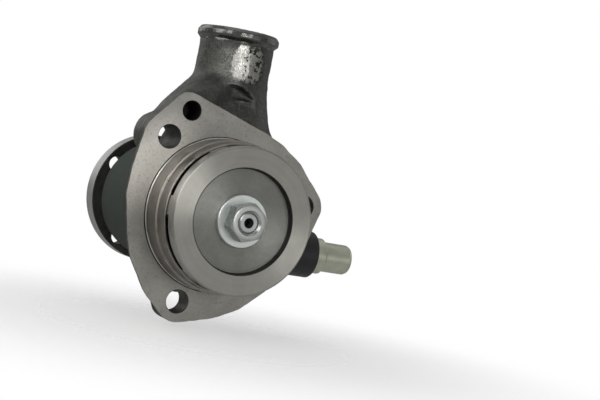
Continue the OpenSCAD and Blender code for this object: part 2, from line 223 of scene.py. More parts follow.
# ---------------------------------------------------------------- materials
class Mat:
    """A principled material built from nodes, with positions in millimetres."""

    def __init__(self, name, metallic=1.0, rough=0.4, spec=0.5, aniso=0.0, coat=0.0):
        self.m = bpy.data.materials.new(name)
        self.m.use_nodes = True
        self.t = self.m.node_tree
        self.t.nodes.clear()
        self.out = self.n("ShaderNodeOutputMaterial")
        self.b = self.n("ShaderNodeBsdfPrincipled")
        self.t.links.new(self.b.outputs[0], self.out.inputs[0])
        self.b.inputs["Metallic"].default_value = metallic
        self.b.inputs["Roughness"].default_value = rough
        self.b.inputs["Specular IOR Level"].default_value = spec
        self.b.inputs["Anisotropic"].default_value = aniso
        self.b.inputs["Coat Weight"].default_value = coat
        co = self.n("ShaderNodeTexCoord")
        mp = self.n("ShaderNodeMapping")
        mp.inputs["Scale"].default_value = (1000, 1000, 1000)
        self.t.links.new(co.outputs["Object"], mp.inputs[0])
        self.mm = mp.outputs[0]
        sep = self.n("ShaderNodeSeparateXYZ")
        self.t.links.new(self.mm, sep.inputs[0])
        self.x, self.y, self.z = sep.outputs

    def n(self, kind):
        return self.t.nodes.new(kind)

    def put(self, socket, v):
        if isinstance(v, bpy.types.NodeSocket):
            self.t.links.new(v, socket)
        else:
            socket.default_value = v

    def math(self, op, a, b=0.0, clamp=False):
        q = self.n("ShaderNodeMath")
        q.operation, q.use_clamp = op, clamp
        self.put(q.inputs[0], a)
        self.put(q.inputs[1], b)
        return q.outputs[0]

    def noise(self, scale, detail=3.0, rough=0.55, vec=None, w=None, distort=0.0):
        q = self.n("ShaderNodeTexNoise")
        if w is not None:
            q.noise_dimensions = "1D"
            self.put(q.inputs["W"], w)
        else:
            self.put(q.inputs["Vector"], vec or self.mm)
        q.inputs["Scale"].default_value = scale
        q.inputs["Detail"].default_value = detail
        q.inputs["Roughness"].default_value = rough
        q.inputs["Distortion"].default_value = distort
        return q.outputs[0]

    def voronoi(self, scale, feature="F1"):
        q = self.n("ShaderNodeTexVoronoi")
        q.feature = feature
        self.put(q.inputs["Vector"], self.mm)
        q.inputs["Scale"].default_value = scale
        return q.outputs["Distance"]

    def span(self, v, a, b, c=0.0, d=1.0, smooth=True):
        q = self.n("ShaderNodeMapRange")
        q.interpolation_type = "SMOOTHSTEP" if smooth else "LINEAR"
        self.put(q.inputs["Value"], v)
        for k, x in zip(("From Min", "From Max", "To Min", "To Max"), (a, b, c, d)):
            q.inputs[k].default_value = x
        return q.outputs[0]

    def mix(self, f, a, b, mode="MIX"):
        q = self.n("ShaderNodeMix")
        q.data_type, q.blend_type = "RGBA", mode
        self.put(q.inputs[0], f)
        for s, v in ((q.inputs[6], a), (q.inputs[7], b)):
            self.put(s, v if isinstance(v, bpy.types.NodeSocket) else (*v, 1.0))
        return q.outputs[2]

    def axis_r(self, axis="Y", at=(0, 0)):
        """Distance from a turning axis."""
        a, b = {"Y": (self.x, self.z), "X": (self.y, self.z), "Z": (self.x, self.y)}[axis]
        a, b = self.math("SUBTRACT", a, at[0]), self.math("SUBTRACT", b, at[1])
        return self.math("SQRT", self.math("ADD", self.math("MULTIPLY", a, a), self.math("MULTIPLY", b, b)))

    def pointy(self, a, b):
        g = self.n("ShaderNodeNewGeometry")
        return self.span(g.outputs["Pointiness"], a, b)

    def bump(self, height, distance, strength=1.0, normal=None):
        q = self.n("ShaderNodeBump")
        q.inputs["Strength"].default_value = strength
        q.inputs["Distance"].default_value = distance * MM
        self.put(q.inputs["Height"], height)
        if normal is not None:
            self.put(q.inputs["Normal"], normal)
        return q.outputs[0]

    def tangent(self, axis="Y"):
        q = self.n("ShaderNodeTangent")
        q.direction_type, q.axis = "RADIAL", axis
        self.put(self.b.inputs["Tangent"], q.outputs[0])

    def set(self, color=None, rough=None, metallic=None, normal=None):
        for k, v in (("Base Color", color), ("Roughness", rough), ("Metallic", metallic), ("Normal", normal)):
            if v is not None:
                self.put(self.b.inputs[k], v if isinstance(v, bpy.types.NodeSocket) or k != "Base Color" else (*v, 1.0))
        return self.m


def cast_iron():
    k = Mat("cast_iron", metallic=0.9, rough=0.5)
    big = k.noise(0.055, 4, 0.6)
    mid = k.noise(0.35, 4, 0.6)
    fine = k.noise(1.5, 3, 0.6)
    c = k.mix(k.span(big, 0.35, 0.65), (0.070, 0.072, 0.067), (0.105, 0.105, 0.096))
    c = k.mix(k.span(mid, 0.52, 0.72), c, (0.15, 0.148, 0.135))
    c = k.mix(k.span(fine, 0.35, 0.5, 1, 0), c, (0.055, 0.055, 0.052))
    # worn edges
    c = k.mix(k.math("MULTIPLY", k.pointy(0.505, 0.56), k.span(mid, 0.35, 0.6, 0.15, 0.85)), c, (0.27, 0.265, 0.25))
    # ground patch on the front of the hose neck
    dx = k.math("DIVIDE", k.math("SUBTRACT", k.x, 2.4), 4.3)
    dz = k.math("DIVIDE", k.math("SUBTRACT", k.z, 76.6), 8.9)
    d = k.math("ADD", k.math("POWER", k.math("ABSOLUTE", dx), 2.4), k.math("POWER", k.math("ABSOLUTE", dz), 3.2))
    edge = k.math("MULTIPLY", k.math("SUBTRACT", k.noise(0.45, 4, 0.7), 0.5), 2.6)
    patch = k.span(k.math("ADD", d, edge), 1.25, 0.75)
    dx2 = k.math("DIVIDE", k.math("SUBTRACT", k.x, 8.2), 6.0)
    d2 = k.math("ADD", k.math("POWER", k.math("ABSOLUTE", dx2), 2.0), k.math("POWER", k.math("ABSOLUTE", dz), 3.0))
    patch2 = k.math("MULTIPLY", k.span(k.math("ADD", d2, edge), 1.3, 0.6), 0.42)
    front = k.span(k.y, 22, 17)
    pits = k.span(k.math("ADD", k.noise(0.52, 3, 0.7), k.span(k.x, 0.5, 7.0, -0.045, 0.045)), 0.585, 0.62)
    grain = k.span(k.noise(1.9, 3, 0.7), 0.3, 0.62, 0.35, 1.0)
    pm = k.math("MULTIPLY", k.math("MULTIPLY", k.math("MAXIMUM", patch, patch2), front), grain)
    c = k.mix(pm, c, (0.86, 0.85, 0.79))
    area = k.math("MULTIPLY", k.math("MULTIPLY", k.span(d2, 1.7, 1.0), front), pits)
    c = k.mix(area, c, (0.030, 0.030, 0.028))
    # smoother, greener skin on the left flank, over the water chamber and barrel
    flank = k.math("MULTIPLY", k.math("MULTIPLY", k.span(k.x, -14, -22), k.span(k.z, 30, 20)), k.span(k.y, 4, 9))
    c = k.mix(k.math("MULTIPLY", flank, k.span(fine, 0.35, 0.7, 1.0, 0.75)), c, (0.046, 0.056, 0.048))
    # paint worn thin to the left of the patch
    haze = k.math("MULTIPLY", k.math("MULTIPLY", k.span(k.x, -10, -1), k.span(k.x, 5, 1)), k.math("MULTIPLY", k.span(k.z, 60, 68), k.span(k.z, 86, 80)))
    c = k.mix(k.math("MULTIPLY", haze, k.span(k.noise(1.1, 4, 0.75), 0.38, 0.60, 0.1, 0.75)), c, (0.42, 0.42, 0.39))
    r = k.math("SUBTRACT", k.span(mid, 0.3, 0.7, 0.40, 0.60), k.math("MULTIPLY", pm, 0.16))
    r = k.math("ADD", r, k.math("MULTIPLY", flank, 0.22))
    h = k.math("ADD", k.math("MULTIPLY", fine, 0.6), k.math("MULTIPLY", k.noise(0.6, 4, 0.6), 1.2))
    h = k.math("SUBTRACT", h, k.math("MULTIPLY", area, 1.5))
    n = k.bump(h, 0.22, 0.85)
    return k.set(c, r, None, n)


def barrel_iron():
    k = Mat("barrel_iron", metallic=0.0, rough=0.75, spec=0.2)
    big = k.noise(0.05, 4, 0.6)
    fine = k.noise(1.1, 3, 0.6)
    c = k.mix(k.span(big, 0.35, 0.65), (0.036, 0.045, 0.039), (0.047, 0.056, 0.050))
    c = k.mix(k.span(fine, 0.55, 0.75, 0, 0.3), c, (0.075, 0.078, 0.072))
    n = k.bump(k.math("ADD", fine, k.noise(0.3, 3)), 0.06, 0.6)
    return k.set(c, k.span(big, 0.3, 0.7, 0.70, 0.80), None, n)


def turned(name, dark, light, rough=(0.30, 0.42), axis="Y", at=(0, 0), along=False, aniso=0.55, streak=0.35, bump=0.02, metallic=1.0, speck=0.0, stain=None, scale=2.2):
    """Lathe-turned metal: fine rings, soft blotches and small marks."""
    k = Mat(name, metallic=metallic, aniso=aniso)
    r = {"Y": k.y, "X": k.x, "Z": k.z}[axis] if along else k.axis_r(axis, at)
    rings = k.noise(scale, 3, 0.7, w=r)
    rings2 = k.noise(scale * 0.22, 2, 0.6, w=r)
    blot = k.noise(0.09, 5, 0.62, distort=0.6)
    fine = k.noise(0.9, 4, 0.65)
    f = k.math("ADD", k.math("MULTIPLY", k.span(blot, 0.3, 0.7), 1 - streak), k.math("MULTIPLY", k.span(rings, 0.3, 0.7), streak))
    c = k.mix(f, dark, light)
    if speck:
        c = k.mix(k.span(fine, 0.60, 0.72, 0, speck), c, tuple(v * 0.45 for v in dark))
    if stain:
        c = k.mix(k.span(k.noise(0.12, 5, 0.7), 0.50, 0.72, 0, 0.55), c, stain)
    rr = k.span(k.math("ADD", k.math("MULTIPLY", blot, 0.6), k.math("MULTIPLY", rings2, 0.4)), 0.3, 0.7, rough[0], rough[1])
    n = k.bump(k.math("ADD", rings, k.math("MULTIPLY", fine, 0.3)), bump, 0.8)
    if aniso:
        k.tangent(axis)
        k.b.inputs["Anisotropic Rotation"].default_value = 0.25
    return k.set(c, rr, None, n)


def milled_face():
    """The pump's machined mounting face: ground flat, finely speckled, with a highlight painted into its colour beside
    the upper bolt hole.
    """
    k = Mat("machined_face", metallic=1.0, aniso=0.0)
    blot = k.noise(0.07, 5, 0.6, distort=0.4)
    fine = k.noise(1.3, 4, 0.7)
    spk = k.noise(0.62, 4, 0.8)
    rings = k.noise(1.5, 2, 0.6, w=k.axis_r("Y"))
    # painted highlight: distance from the bright spot painted beside the upper bolt hole, measured along the band
    # between bolt hole and spigot
    u = k.math("ADD", k.math("MULTIPLY", k.math("ADD", k.x, 38.5), 0.84), k.math("MULTIPLY", k.math("SUBTRACT", k.z, 20.0), -0.54))
    v = k.math("ADD", k.math("MULTIPLY", k.math("ADD", k.x, 38.5), 0.54), k.math("MULTIPLY", k.math("SUBTRACT", k.z, 20.0), 0.84))
    d = k.math("SQRT", k.math("ADD", k.math("POWER", k.math("ABSOLUTE", k.math("DIVIDE", u, 15.0)), 2), k.math("POWER", k.math("ABSOLUTE", k.math("DIVIDE", v, 22.0)), 2)))
    painted_highlight = k.span(k.math("ADD", d, k.math("MULTIPLY", k.math("SUBTRACT", blot, 0.5), 0.9)), 1.6, 0.25)
    c = k.mix(k.span(blot, 0.3, 0.7), (0.270, 0.262, 0.238), (0.345, 0.335, 0.305))
    # painted highlight: the colour is lightened around the spot where a lamp's reflection falls
    c = k.mix(painted_highlight, c, (0.70, 0.675, 0.62))
    c = k.mix(k.span(fine, 0.50, 0.68, 0, 0.30), c, (0.44, 0.43, 0.405))
    c = k.mix(k.span(spk, 0.55, 0.66, 0, 0.70), c, (0.15, 0.143, 0.13))
    # painted highlight: bright sparkle painted only inside the spot
    c = k.mix(k.math("MULTIPLY", painted_highlight, k.span(fine, 0.54, 0.64, 0, 0.6)), c, (0.88, 0.86, 0.81))
    c = k.mix(k.span(rings, 0.4, 0.7, 0, 0.10), c, (0.40, 0.39, 0.37))
    r = k.span(spk, 0.3, 0.7, 0.32, 0.42)
    n = k.bump(k.math("ADD", fine, k.math("MULTIPLY", spk, 0.8)), 0.035, 0.9)
    return k.set(c, r, None, n)


def plain(name, color, metallic, rough, grain=0.9, depth=0.02, vary=0.2, coat=0.0):
    """A finish that varies a little in colour and gloss, with a fine grain."""
    k = Mat(name, metallic=metallic, coat=coat)
    a = k.noise(0.12, 4, 0.6)
    b = k.noise(grain, 4, 0.6)
    c = k.mix(k.span(a, 0.3, 0.7), tuple(v * (1 - vary) for v in color), tuple(min(1.0, v * (1 + vary)) for v in color))
    c = k.mix(k.span(b, 0.58, 0.75, 0, 0.4), c, tuple(v * 0.6 for v in color))
    r = k.span(b, 0.3, 0.7, max(0.05, rough - 0.07), min(1.0, rough + 0.08))
    return k.set(c, r, None, k.bump(k.math("ADD", b, k.math("MULTIPLY", a, 0.5)), depth, 0.8))


M_CAST = cast_iron()
M_BARREL = barrel_iron()
M_FACE = milled_face()
# painted shade: a near-black cast colour, darker than the outside casting, for inner and hidden faces (cored pockets,
# the spigot's inner cone, the impeller's back, hub and vanes)
M_CAST_SHADE = plain("inner_casting_painted_shade", (0.035, 0.034, 0.032), 0.6, 0.62, 0.7, 0.12, 0.35)
M_BORE = turned("bored_iron", (0.045, 0.045, 0.043), (0.085, 0.083, 0.078), (0.34, 0.46), aniso=0.3, along=True, bump=0.03)
M_SPIGOT = turned("spigot_turned", (0.235, 0.219, 0.196), (0.40, 0.376, 0.345), (0.26, 0.40), along=True, aniso=0.45, streak=0.5, stain=(0.17, 0.14, 0.115), scale=0.9)
# painted highlight: a near-white colour on the thin lip at the spigot's root, standing in for the light it catches
M_LIP_HIGHLIGHT = plain("lip_painted_highlight", (0.80, 0.78, 0.74), 1.0, 0.35)
M_IMP = turned("impeller_face", (0.345, 0.336, 0.307), (0.425, 0.415, 0.38), (0.28, 0.34), aniso=0.88, streak=0.45, scale=2.0)
M_RECESS = turned("impeller_recess", (0.225, 0.229, 0.212), (0.305, 0.31, 0.287), (0.36, 0.44), aniso=0.7, streak=0.2, speck=0.6, scale=1.4)
M_RIM = turned("impeller_rim", (0.40, 0.387, 0.358), (0.55, 0.533, 0.495), (0.28, 0.40), along=True, aniso=0.45, streak=0.5, stain=(0.22, 0.20, 0.18), scale=1.2)
M_ZINC = turned("zinc_plate", (0.44, 0.475, 0.46), (0.56, 0.60, 0.58), (0.20, 0.30), aniso=0.2, streak=0.25, speck=0.35)
M_WASH = turned("zinc_washer", (0.66, 0.70, 0.67), (0.75, 0.79, 0.76), (0.34, 0.40), aniso=0.0, streak=0.2, speck=0.15)
# painted shade: a dark colour for the recess wall, standing in for its shade, also used for a thin dark band at the
# ring's inner edge
M_WALL_SHADE = turned("recess_wall_painted_shade", (0.045, 0.044, 0.041), (0.075, 0.073, 0.068), (0.4, 0.5), along=True, aniso=0.0)
# painted light and shade: one zinc finish in a lit copy for faces turned to the front and a much darker shaded copy for
# the flats
M_LIT_NUT_FACE = turned("zinc_nut_lit_face", (0.47, 0.49, 0.465), (0.55, 0.575, 0.55), (0.26, 0.34), aniso=0.0, streak=0.3, speck=0.3)
M_SHADED_NUT = turned("zinc_nut", (0.19, 0.204, 0.193), (0.25, 0.266, 0.253), (0.24, 0.30), aniso=0.0, streak=0.15, speck=0.3)
M_BOLT = plain("bolt_bore", (0.075, 0.073, 0.068), 0.6, 0.55, 0.7, 0.12, 0.4)
# painted shade: a near-black colour for the bypass hole and the shaft's centre drilling, standing in for the shade
# inside them
M_HOLE_SHADE = plain("painted_shade_hole", (0.012, 0.011, 0.011), 0.3, 0.65, 0.9, 0.03, 0.2)
M_BEAD = turned("hose_bead", (0.10, 0.10, 0.095), (0.20, 0.20, 0.19), (0.22, 0.30), axis="Z", at=(6.1, 29.0), along=True, aniso=0.0, streak=0.25, speck=0.7, bump=0.05)
M_OLIVE = turned("zinc_olive", (0.50, 0.53, 0.415), (0.63, 0.66, 0.53), (0.30, 0.42), axis="X", at=(20, -13.2), along=True, aniso=0.25, streak=0.2, speck=0.3, metallic=0.8)
# the black bush's own finish; also used as painted shade inside the heater tail's bore
M_BLACK_BUSH_AND_BORE_SHADE = plain("black_bush", (0.012, 0.012, 0.012), 0.0, 0.42, 1.2, 0.03, 0.3)
M_HUBRIM = turned("hub_rim", (0.385, 0.392, 0.386), (0.53, 0.54, 0.53), (0.48, 0.58), along=True, aniso=0.3, streak=0.45, scale=1.2)
M_HUBDARK = plain("hub_dark", (0.052, 0.053, 0.050), 0.5, 0.50, 0.9, 0.05, 0.35)
M_HUBFACE = turned("hub_face", (0.30, 0.30, 0.295), (0.42, 0.42, 0.41), (0.32, 0.44), aniso=0.5, streak=0.4)
M_SHAFT = turned("shaft_turned", (0.42, 0.43, 0.43), (0.56, 0.57, 0.57), (0.22, 0.34), aniso=0.35, streak=0.3)
BY_SLOT = {
    "casting": M_CAST, "black_bush": M_BLACK_BUSH_AND_BORE_SHADE, "zinc_olive": M_OLIVE,
    "bearing_steel": turned("bearing_steel", (0.55, 0.56, 0.57), (0.66, 0.67, 0.68), (0.15, 0.25), aniso=0.3),
    "shield_rubber": plain("shield_rubber", (0.10, 0.035, 0.020), 0.0, 0.55),
    "spring_steel": plain("spring_steel", (0.06, 0.06, 0.066), 0.8, 0.40),
    "seal_brass": plain("seal_brass", (0.50, 0.36, 0.14), 1.0, 0.30),
    "seal_rubber": plain("seal_rubber", (0.015, 0.015, 0.015), 0.0, 0.60),
    "bright_spring": plain("bright_spring", (0.55, 0.56, 0.58), 1.0, 0.28),
    "carbon": plain("carbon", (0.03, 0.03, 0.032), 0.2, 0.35),
    "shaft_steel": M_SHAFT, "impeller_iron": M_IMP, "zinc_plate": M_ZINC,
    "key_steel": plain("key_steel", (0.35, 0.35, 0.36), 1.0, 0.35),
    "ceramic": plain("ceramic", (0.72, 0.69, 0.62), 0.0, 0.25),
    "slinger_rubber": plain("slinger_rubber", (0.02, 0.02, 0.02), 0.0, 0.6),
    "hub_iron": M_HUBRIM,
    "ball_steel": plain("ball_steel", (0.70, 0.71, 0.73), 1.0, 0.12, depth=0.002),
    "cage_brass": plain("cage_brass", (0.55, 0.42, 0.18), 1.0, 0.32),
}
slot_of = {s["node"]: s["material_slot"] for s in frame["record"]["subparts"]}
for name, o in frame["nodes"].items():
    o.data.materials.clear()
    o.data.materials.append(BY_SLOT[slot_of[name]])


def finish_piece(o, body, nodes, mats, pick=None, angle=32):
    """Materials, shading, body and hidden CAD nodes of a new piece. pick(centre_mm, normal) gives each face's material
    number.
    """
    if mats:
        o.data.materials.clear()
        for m in mats:
            o.data.materials.append(m)
    if pick:
        for p in o.data.polygons:
            p.material_index = pick(p.center / MM, p.normal)
    shade(o, angle)
    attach(o, body)
    if nodes:
        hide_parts(*nodes)
    return o


# ---------------------------------------------------------------- sizes, in mm
ARC_R, SIDE_D, SIDE_R, LOBE_R = 49.3, 47.4, 150.0, 10.4
PA, PB, PC = polar(46.9, 133.8), polar(46.9, -106.2), polar(46.9, 13.8)
PD = (-23.4, 48.2)
NECK = (6.1, 29.0)
OUT = (0, 20.0, -13.2)


def flange_outline(inset=0.0, n=400):
    """The mounting plate's edge, as the furthest point of its circles and webs in each direction."""
    discs = [(PB, LOBE_R), (PC, LOBE_R), ((-15.5, -30.0), 20.0), ((-33.2, 33.0), 12.4), ((-24.6, 47.6), 9.2)]
    discs += [(polar(35.7, a), 16.0) for a in (34.0, -6.4, -86.0)] + [(polar(33.2, 158), 18.0)]
    webs = [((-15.5, -30.0), 20.0, PB, LOBE_R)]
    for a, lobe in ((34.0, PC), (-6.4, PC), (-86.0, PB)):
        webs += [(polar(35.7, a), 16.0, lobe, LOBE_R), ((0, 0), ARC_R - 0.2, polar(35.7, a), 16.0)]
    webs += [
            ((0, 0), ARC_R - 0.2, (-15.5, -30.0), 20.0), ((-33.2, 33.0), 12.4, polar(33.2, 158), 18.0), ((0, 0), ARC_R - 0.2, polar(33.2, 158), 18.0),
            ((0, 0), SIDE_D, (-24.6, 47.6), 9.2), ((-33.2, 33.0), 12.4, (-24.6, 47.6), 9.2)]
    quads = []
    for c1, r1, c2, r2 in webs:
        d = Vector(c2) - Vector(c1)
        a, b = math.degrees(math.atan2(d.y, d.x)), math.degrees(math.acos((r1 - r2) / d.length))
        quads.append([Vector(c) + Vector(polar(r - inset, t)) for c, r, t in ((c1, r1, a + b), (c2, r2, a + b), (c2, r2, a - b), (c1, r1, a - b))])
    sides = [Vector(polar(SIDE_D - SIDE_R, a)) for a in (73.8, 193.8, -46.2)]

    def inside(p):
        if p.length <= ARC_R - inset and all((p - s).length <= SIDE_R - inset for s in sides):
            return True
        if any((p - Vector(c)).length <= r - inset for c, r in discs):
            return True
        for q in quads:
            s = [(q[(i + 1) % 4] - q[i]).cross(p - q[i]) for i in range(4)]
            if all(v <= 0 for v in s) or all(v >= 0 for v in s):
                return True
        return False

    out = []
    for i in range(n):
        u = Vector(polar(1, 360 * i / n))
        lo, hi = 30.0, 70.0
        for _ in range(16):
            mid = (lo + hi) / 2
            lo, hi = (mid, hi) if inside(u * mid) else (lo, mid)
        out.append(tuple(u * lo))
    return out


def flange_loft(name, levels):
    rings = [flange_outline(i) for _, i in levels]
    n = len(rings[0])
    verts = [(x, y, z) for (y, _), ring in zip(levels, rings) for x, z in ring]
    faces = [list(range(n)), list(range(len(verts) - n, len(verts)))]
    for k in range(len(levels) - 1):
        faces += [[k * n + i, k * n + (i + 1) % n, (k + 1) * n + (i + 1) % n, (k + 1) * n + i] for i in range(n)]
    return make(name, verts, faces)


def bar(p, r, y0, y1, r1=None, n=64):
    return lathe("t", [(0, y0), (r, y0), (r if r1 is None else r1, y1), (0, y1)], n, "Y", (p[0], 0, p[1]))


def flare(z):
    return 19.2 + ((72 - z) ** 2 / 125 if z < 72 else 0)


# ---------------------------------------------------------------- the casting
def casting():
    parts = [
        flange_loft("plate", [(-2.2, 0.0), (1.6, 0.0), (3.4, 0.5), (5.0, 1.3)]),
        lathe("t", [(0, -2), (36, -2), (39, 2), (39, 24), (37.5, 31), (33.5, 41), (31.7, 48), (31.5, 87.5), (0, 87.5)], 128),
        bar(PA, 12.0, -1, 20.7, 11.7), bar(PB, LOBE_R + 0.1, -1, 12.5, LOBE_R - 0.4), bar(PC, LOBE_R + 0.1, -1, 12.5, LOBE_R - 0.4),
        lathe("t", [(0, 42)] + [(flare(z), z) for z in range(42, 73, 3)] + [(19.25, 92.4), (0, 92.4)], 128, "Z", (NECK[0], NECK[1], 0)),
        lathe("t", [(0, 20), (15.4, 20), (14.6, 50.2), (0, 50.2)], 80, "X", OUT),
        lathe("t", [(0, -44.3), (5.6, -44.3), (6.4, -34), (0, -34)], 48, "Z", (0, 44.2, 0)),
    ]
    # the back and front of the neck's skirt are cut off flat
    skirt = parts[5]
    cut(skirt, block("t", -40, 60, -20, 5.5, 0, 72))
    cut(skirt, block("t", -40, 60, 50.5, 80, 0, 72))
    shoulder = hull("t", [bar((0, 0), 35, 8, 30, n=48), bar((0, 0), 29, 30, 47, n=48),
                          lathe("t", [(0, 42), (26.2, 42), (26.2, 44), (0, 44)], 64, "Z", (NECK[0], NECK[1], 0))])
    cut(shoulder, block("t", -80, 80, -20, 6, -80, 80))
    cut(shoulder, block("t", -80, 80, 49, 80, -80, 80))
    cut(shoulder, block("t", -80, 80, -20, 80, -80, 0))
    web = hull("t", [bar(PA, 9.2, 4, 20, n=48), bar(PD, 8.6, 4, 20, n=48),
                     lathe("t", [(0, 60), (19.6, 60), (19.6, 68), (0, 68)], 64, "Z", (NECK[0], NECK[1], 0))])
    gusset = prism("t", [(26, 40), (26, 78), (31, 78), (35, 66), (58, 49), (58, 40)], -0.9, 7.1)
    # the outline above is (y, z): turn it so that it stands along the shaft
    for v in gusset.data.vertices:
        v.co = Vector((v.co.y, v.co.x, v.co.z))
    bm = bmesh.new(); bm.from_mesh(gusset.data); bmesh.ops.recalc_face_normals(bm, faces=bm.faces); bm.to_mesh(gusset.data); bm.free()
    body = join("housing_casting", parts + [shoulder, web, gusset])
    remesh(body, 0.9)
    # arched pocket under the hose seat: deep under the arch, running out towards the plate
    front = lathe("t", [(0, 3.5), (20.0, 3.5), (19.6, 7.0), (0, 7.0)], 96, "Y", (-0.5, 0, 46.3))
    cut(front, block("t", -60, 60, -5, 30, 0, 50.0))
    cut(front, block("t", -60, -8.5, -5, 30, 0, 90))
    cut(front, block("t", 15.2, 60, -5, 30, 0, 90))
    deep = lathe("t", [(0, 9), (18.0, 9), (17.0, 12.7), (0, 12.7)], 96, "Y", (-0.2, 0, 47.0))
    cut(deep, block("t", -60, 60, -5, 30, 0, 60.0))
    cut(deep, block("t", -60, 1.0, -5, 30, 0, 90))
    cut(deep, block("t", 13.6, 60, -5, 30, 0, 90))
    pocket = hull("t", [front, deep])
    cut(body, pocket)
    # raised ridge left in the pocket by the mould
    ridge = lathe("t", [(0, 0), (0.5, 0), (1.0, 4), (0.9, 9), (0.5, 12.0), (0, 12.0)], 24, "X", (3.6, 10.9, 57.8))
    body = join("housing_casting", [body, ridge])
    remesh(body, 0.72)
    top = body.vertex_groups.new(name="soft")
    for v in body.data.vertices:
        z, y = v.co.z / MM, v.co.y / MM
        w = 1.0
        if y < 2.5:
            w = min(w, 0.25)
        top.add([v.index], w, "REPLACE")
    s = body.modifiers.new("s", "SMOOTH")
    s.factor, s.iterations, s.vertex_group = 0.5, 9, "soft"
    bake(body)
    # the run from the neck into the shoulder is drawn out more softly
    flow = body.vertex_groups.new(name="flow")
    for v in body.data.vertices:
        p = v.co / MM
        w = min(1.0, max(0.0, 1.35 - abs(p.z - 62) / 14)) * min(1.0, max(0.0, (0 - p.x) / 7)) * min(1.0, max(0.0, (p.y - 5.5) / 5))
        flow.add([v.index], w, "REPLACE")
    s = body.modifiers.new("s2", "SMOOTH")
    s.factor, s.iterations, s.vertex_group = 0.5, 90, "flow"
    bake(body)
    # sand-cast unevenness
    me = body.data
    me.update()
    moved = []
    for v in me.vertices:
        p = v.co / MM
        calm = 0.35 if (p.y > 46 and math.hypot(p.x, p.z) < 33) else 1.0
        a = noise.noise(p * 0.09) * 0.32 + noise.noise(p * 0.33) * 0.16 + noise.noise(p * 0.9) * 0.06
        moved.append(v.co + v.normal * (a * calm - 0.04) * MM)
    for v, co in zip(me.vertices, moved):
        v.co = co
    d = body.modifiers.new("d", "DECIMATE")
    d.ratio = 0.42
    bake(body)
    # the hose bead keeps crisp corners
    edge = [(14.9, 86.8), (18.9, 86.8), (19.3, 87.3), (19.9, 87.9), (20.6, 88.6), (20.95, 89.0), (21.05, 89.7), (21.05, 90.6), (21.05, 91.5), (20.8, 91.95),
            (20.2, 92.7), (19.7, 93.3), (19.3, 93.5), (18.0, 93.5), (16.8, 93.5), (14.9, 93.5)]
    bead = lathe("bead", edge, 200, "Z", (NECK[0], NECK[1], 0))
    for v in bead.data.vertices:
        q = v.co / MM
        out = Vector((q.x - NECK[0], q.y - NECK[1], 0))
        if out.length > 18.5:
            a = noise.noise(q * 0.16) * 0.20 + noise.noise(q * 0.55) * 0.12 + noise.noise(q * 1.3) * 0.06 - 0.05
            v.co += out.normalized() * a * MM
            if q.z > 93:
                v.co.z -= abs(noise.noise(q * 0.5 + Vector((9, 3, 5)))) * 0.22 * MM
    cut(body, bead, "UNION")
    tidy(body)
    body.data.materials.clear()
    body.data.materials.append(M_CAST)
    return body


housing = casting()


def tool(o, m):
    o.data.materials.clear()
    o.data.materials.append(m)
    return o


cut(housing, tool(block("t", -90, 90, -30, 0, -90, 130), M_FACE))
cut(housing, tool(block("t", -90, 90, 85.5, 110, -90, 90), M_BORE))
WALL = 28.0
cut(housing, tool(lathe("t", [(0, -5), (29, -5), (29, 6), (33, 10), (33, 26), (31, WALL), (18.25, WALL), (18.25, 38), (13, 38), (13, 41.5), (19, 41.5), (19, 47),
                              (23.5, 47), (23.5, 82.5), (24.8, 82.5), (24.8, 84.3), (23.5, 84.3), (23.5, 84.7), (24.5, 85.7), (24.5, 90), (0, 90)], 128), M_BORE))
cut(housing, tool(lathe("t", [(37.7, -1), (38.75, -1), (38.75, 0.7), (37.7, 0.7)], 160), M_BORE))
cut(housing, tool(lathe("t", [(0, 38), (13.4, 38), (13.4, 61), (15.5, 63), (15.5, 92.6), (16.6, 93.6), (16.6, 99), (0, 99)], 96, "Z", (NECK[0], NECK[1], 0)), M_BORE))
link_cut = lathe("t", [(0, 20), (13, 20), (13, 41), (0, 41)], 64, "Z", (NECK[0], NECK[1], 0))
cut(link_cut, block("t", -60, 60, 25.5, 60, 0, 60))
cut(housing, tool(link_cut, M_BORE))
for p, end, ra in ((PA, 20.7, 9.5), (PB, 12.5, 9.9), (PC, 12.5, 9.9)):
    # the cored pockets behind the lobes take the painted shade colour
    cut(housing, tool(lathe("t", [(0, end), (ra, end), (ra, end + (30 if p is PA else 14)), (0, end + (30 if p is PA else 14))], 64, "Y", (p[0], 0, p[1])), M_CAST_SHADE))
    cut(housing, tool(lathe("t", [(0, -3), (6.4, -3), (6.4, -0.35), (6.05, 0), (5.75, 0.3), (5.75, end + 4), (0, end + 4)], 72, "Y", (p[0], 0, p[1])), M_BOLT))
# the bypass hole's walls are painted near-black as shade
cut(housing, tool(lathe("t", [(0, -3), (5.0, -3), (5.0, 0), (4.7, 0.3), (4.7, 16), (0, 18.4)], 64, "Y", (PD[0], 0, PD[1])), M_HOLE_SHADE))
cut(housing, tool(lathe("t", [(0, 25), (6.5, 25), (6.5, 39), (9.5, 39), (9.5, 60), (0, 60)], 72, "X", OUT), M_BORE))
cut(housing, tool(lathe("t", [(0, -60), (2.5, -60), (2.5, -10), (0, -10)], 32, "Z", (0, 44.2, 0)), M_BORE))
tidy(housing)
# the barrel's outside is smoother than the rest of the casting
housing.data.materials.append(M_BARREL)
housing.data.materials.append(M_BEAD)
bi = len(housing.data.materials) - 2
ci = [m.name for m in housing.data.materials].index("cast_iron")
for p in housing.data.polygons:
    c = p.center / MM
    if p.material_index == ci and c.y > 49.5 and math.hypot(c.x, c.z) < 33.2:
        p.material_index = bi
    elif p.material_index == ci and c.z > 86.9 and math.hypot(c.x - NECK[0], c.y - NECK[1]) > 16.7:
        p.material_index = bi + 1
finish_piece(housing, "housing", ["pump_housing"], None, None, 38)

